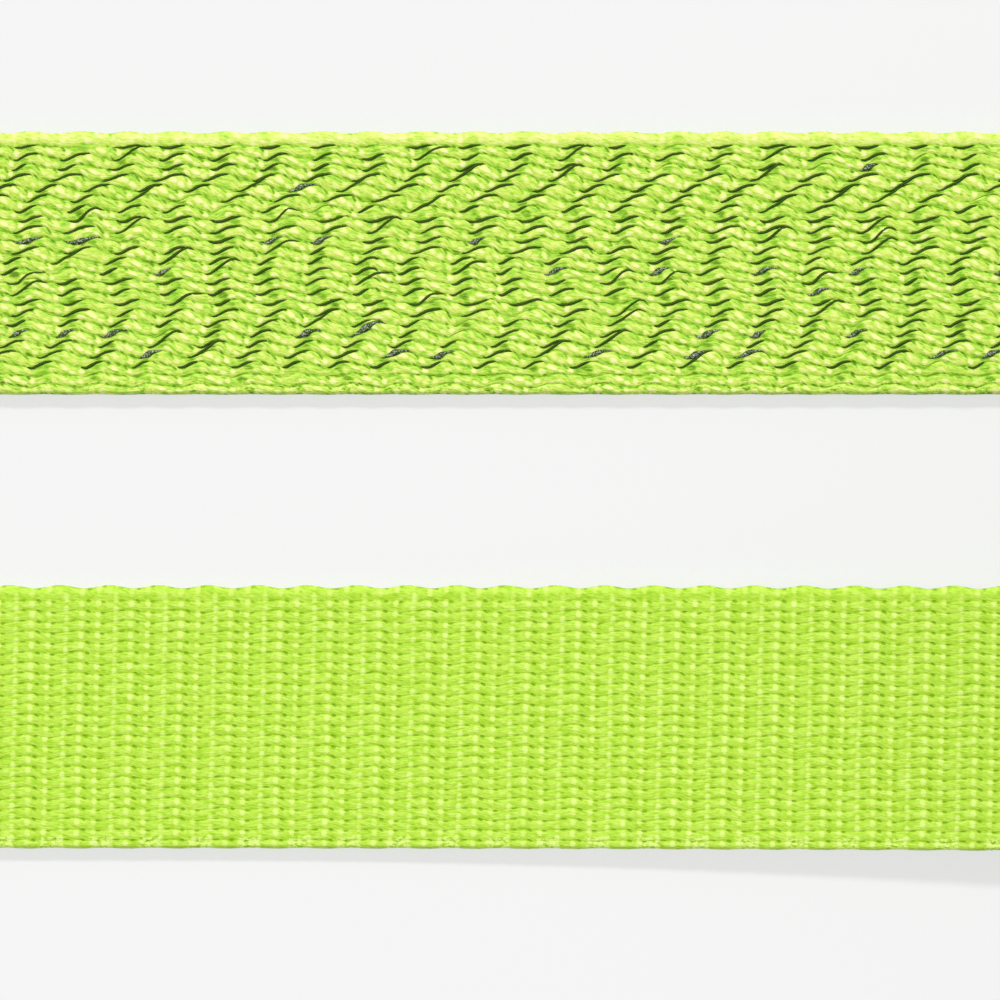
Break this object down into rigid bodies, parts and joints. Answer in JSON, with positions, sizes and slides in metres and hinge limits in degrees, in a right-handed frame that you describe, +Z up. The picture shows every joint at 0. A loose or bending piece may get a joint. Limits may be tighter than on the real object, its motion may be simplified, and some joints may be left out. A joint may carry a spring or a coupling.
{
  "type": "ratchet tie down",
  "caption": "Ratchet tie-down: short strap with ratchet and hook, and a long reflective strap with hook, laid flat side by side, the spare webbing rolled.",
  "frame": {"origin": "middle of the layout's footprint, on the surface that it lies on", "axes": "+X along the webbing from the hooks towards the ratchet, +Y across from the fixed strap to the long strap, +Z up"},
  "size_m": [0.3487, 0.09, 0.0821],
  "materials": {
    "webbing": "lime green woven polyester with dark reflective yarn on its face",
    "stitching": "bonded polyester thread",
    "plated_steel": "bright zinc plate on pressed steel",
    "hook_wire": "bright zinc plate on drawn wire",
    "hook_vinyl": "dipped vinyl",
    "grip_rubber": "moulded ribbed rubber",
    "spring_steel": "spring wire",
    "tie_rubber": "moulded elastic band"
  },
  "bodies": {
    "ratchet_base": {"base_frame": "plated_steel", "strap_bolt": "plated_steel", "bolt_nut": "plated_steel", "bolt_spacer": "plated_steel", "fixed_strap_hook_end": "webbing", "fixed_strap": "webbing", "fixed_strap_ratchet_end": "webbing", "fixed_strap_stitching": "stitching", "lock_spring": "spring_steel", "long_strap_hook_end": "webbing", "long_strap": "webbing", "long_strap_roll": "webbing", "long_strap_stitching": "stitching", "roll_tie": "tie_rubber"},
    "spool": {"spool_half_upper": "plated_steel", "spool_half_lower": "plated_steel", "ratchet_wheel_left": "plated_steel", "ratchet_wheel_right": "plated_steel", "spool_washers": "plated_steel", "cotter_pins": "plated_steel"},
    "handle": {"handle_frame": "plated_steel", "handle_grip": "grip_rubber", "drive_spring": "spring_steel"},
    "drive_pawl": {"drive_pawl": "plated_steel"},
    "lock_pawl": {"lock_pawl": "plated_steel"},
    "fixed_strap_hook": {"fixed_hook": "hook_wire", "fixed_hook_coating": "hook_vinyl"},
    "long_strap_hook": {"strap_hook": "hook_wire", "strap_hook_coating": "hook_vinyl"}
  },
  "joints": [
    {"name": "handle_swing", "type": "hinge", "parent": "ratchet_base", "child": "handle", "pos_m": [0.1566, -0.01847, 0.02], "axis": [0, 1, 0], "range_deg": [0, 165]},
    {"name": "spool_spin", "type": "hinge", "parent": "ratchet_base", "child": "spool", "pos_m": [0.1566, -0.01847, 0.02], "axis": [0, 1, 0], "continuous": true},
    {"name": "drive_pawl_slide", "type": "slide", "parent": "handle", "child": "drive_pawl", "axis": [-0.9877, 0, 0.1564], "range_m": [0, 0.004], "stiffness_N_per_m": 600, "springref_m": -0.004, "deforming": ["drive_spring"]},
    {"name": "lock_pawl_slide", "type": "slide", "parent": "ratchet_base", "child": "lock_pawl", "axis": [-0.9336, 0, -0.3584], "range_m": [0, 0.004], "stiffness_N_per_m": 600, "springref_m": -0.004, "deforming": ["lock_spring"]},
    {"name": "fixed_hook_swing", "type": "hinge", "parent": "ratchet_base", "child": "fixed_strap_hook", "pos_m": [-0.1094, -0.01847, 0.0051], "axis": [0, 1, 0], "range_deg": [0, 150]},
    {"name": "strap_hook_swing", "type": "hinge", "parent": "ratchet_base", "child": "long_strap_hook", "pos_m": [-0.1154, 0.02527, 0.0051], "axis": [0, 1, 0], "range_deg": [0, 150]}
  ]
}
